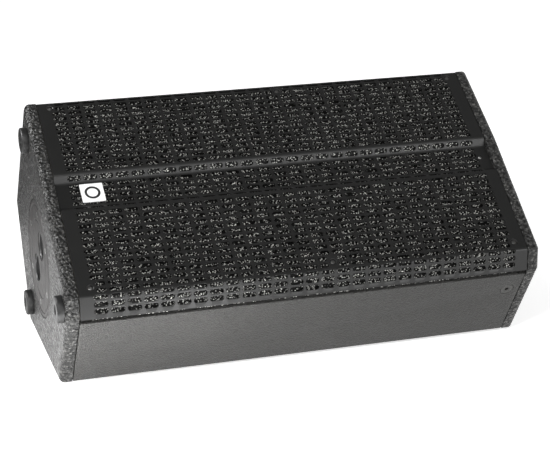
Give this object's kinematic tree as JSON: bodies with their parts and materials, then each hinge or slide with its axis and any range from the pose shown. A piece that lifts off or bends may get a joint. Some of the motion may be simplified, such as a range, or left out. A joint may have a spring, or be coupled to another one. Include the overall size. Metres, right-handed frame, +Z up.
{
  "type": "stage monitor wedge loudspeaker",
  "caption": "Floor-standing loudspeaker wedge: angled cabinet with a folded slotted grille, foam behind it, rubber feet and pole sockets.",
  "frame": {"origin": "middle of the box's underside, on the floor that the wedge stands on", "axes": "+X along the cabinet from the base end (pole sockets and end feet) to the top end, +Z up, -Y towards the performer, whom the sloping grille faces"},
  "size_m": [0.69, 0.3962, 0.348],
  "materials": {
    "textured_paint": "plywood coated with black textured polyurethane paint, coarse grain",
    "textured_paint_fine": "plywood coated with the same paint, rolled to a finer grain",
    "grille_coating": "folded steel sheet, satin black powder coat",
    "acoustic_foam": "open-cell black acoustic foam",
    "badge_enamel": "white enamelled plate with a plain ring",
    "stained_plywood": "birch plywood stained black",
    "black_steel": "black coated steel",
    "zinc_steel": "zinc-plated steel",
    "dark_screw": "blackened steel screw",
    "foot_rubber": "moulded rubber, matt",
    "moulded_plastic": "moulded plastic, semi-gloss",
    "cone_paper": "pressed paper pulp",
    "treated_cloth": "resin-treated pleated cloth",
    "ferrite": "ferrite magnet",
    "diaphragm_metal": "thin formed metal",
    "copper_wire": "enamelled copper winding",
    "circuit_board": "glass-fibre circuit board",
    "cable_jacket": "flexible insulated twin lead"
  },
  "bodies": {
    "root": {"end_panel_base": "textured_paint", "end_panel_top": "textured_paint", "front_side_panel": "textured_paint_fine", "floor_side_panel": "textured_paint_fine", "rear_panel": "textured_paint_fine", "handle_side_panel": "textured_paint_fine", "grille": "grille_coating", "grille_foam": "acoustic_foam", "badge": "badge_enamel", "baffle": "stained_plywood", "grille_batten_base": "stained_plywood", "grille_batten_top": "stained_plywood", "grille_block_far": "stained_plywood", "grille_block_near": "stained_plywood", "grille_screw_far_base": "dark_screw", "grille_screw_far_middle": "dark_screw", "grille_screw_far_top": "dark_screw", "grille_screw_near_base": "dark_screw", "grille_screw_near_middle": "dark_screw", "grille_screw_near_top": "dark_screw", "rigging_plug_front": "dark_screw", "rigging_plug_back": "dark_screw", "end_foot_1": "foot_rubber", "end_foot_2": "foot_rubber", "end_foot_3": "foot_rubber", "floor_foot_near_base": "foot_rubber", "floor_foot_near_top": "foot_rubber", "floor_foot_far_base": "foot_rubber", "floor_foot_far_top": "foot_rubber", "end_foot_screw_1": "zinc_steel", "end_foot_screw_2": "zinc_steel", "end_foot_screw_3": "zinc_steel", "woofer_top_plate": "zinc_steel", "woofer_back_plate": "zinc_steel", "pole_mount_plate": "moulded_plastic", "handle_cup": "moulded_plastic", "speaker_socket_input": "moulded_plastic", "speaker_socket_link": "moulded_plastic", "horn": "moulded_plastic", "driver_rear_cover": "moulded_plastic", "port_tube_near": "moulded_plastic", "port_tube_far": "moulded_plastic", "crossover_capacitor": "moulded_plastic", "pole_sleeve_straight": "black_steel", "pole_sleeve_tilted": "black_steel", "handle_grip": "black_steel", "connector_plate": "black_steel", "woofer_basket": "black_steel", "woofer_magnet": "ferrite", "driver_magnet": "ferrite", "crossover_coil": "copper_wire", "woofer_surround": "treated_cloth", "woofer_spider": "treated_cloth", "crossover_board": "circuit_board", "wire_woofer": "cable_jacket", "wire_driver": "cable_jacket"},
    "woofer_cone": {"woofer_cone": "cone_paper", "woofer_dust_cap": "cone_paper", "woofer_voice_coil": "copper_wire"},
    "driver_diaphragm": {"driver_diaphragm": "diaphragm_metal"}
  },
  "joints": [
    {"name": "woofer_stroke", "type": "slide", "parent": "root", "child": "woofer_cone", "axis": [0, -0.529, 0.8486], "range_m": [-0.005, 0.005], "stiffness_N_per_m": 5000, "deforming": ["woofer_surround", "woofer_spider"]},
    {"name": "driver_stroke", "type": "slide", "parent": "root", "child": "driver_diaphragm", "axis": [0, -0.529, 0.8486], "range_m": [-0.0003, 0.0003], "stiffness_N_per_m": 800}
  ]
}
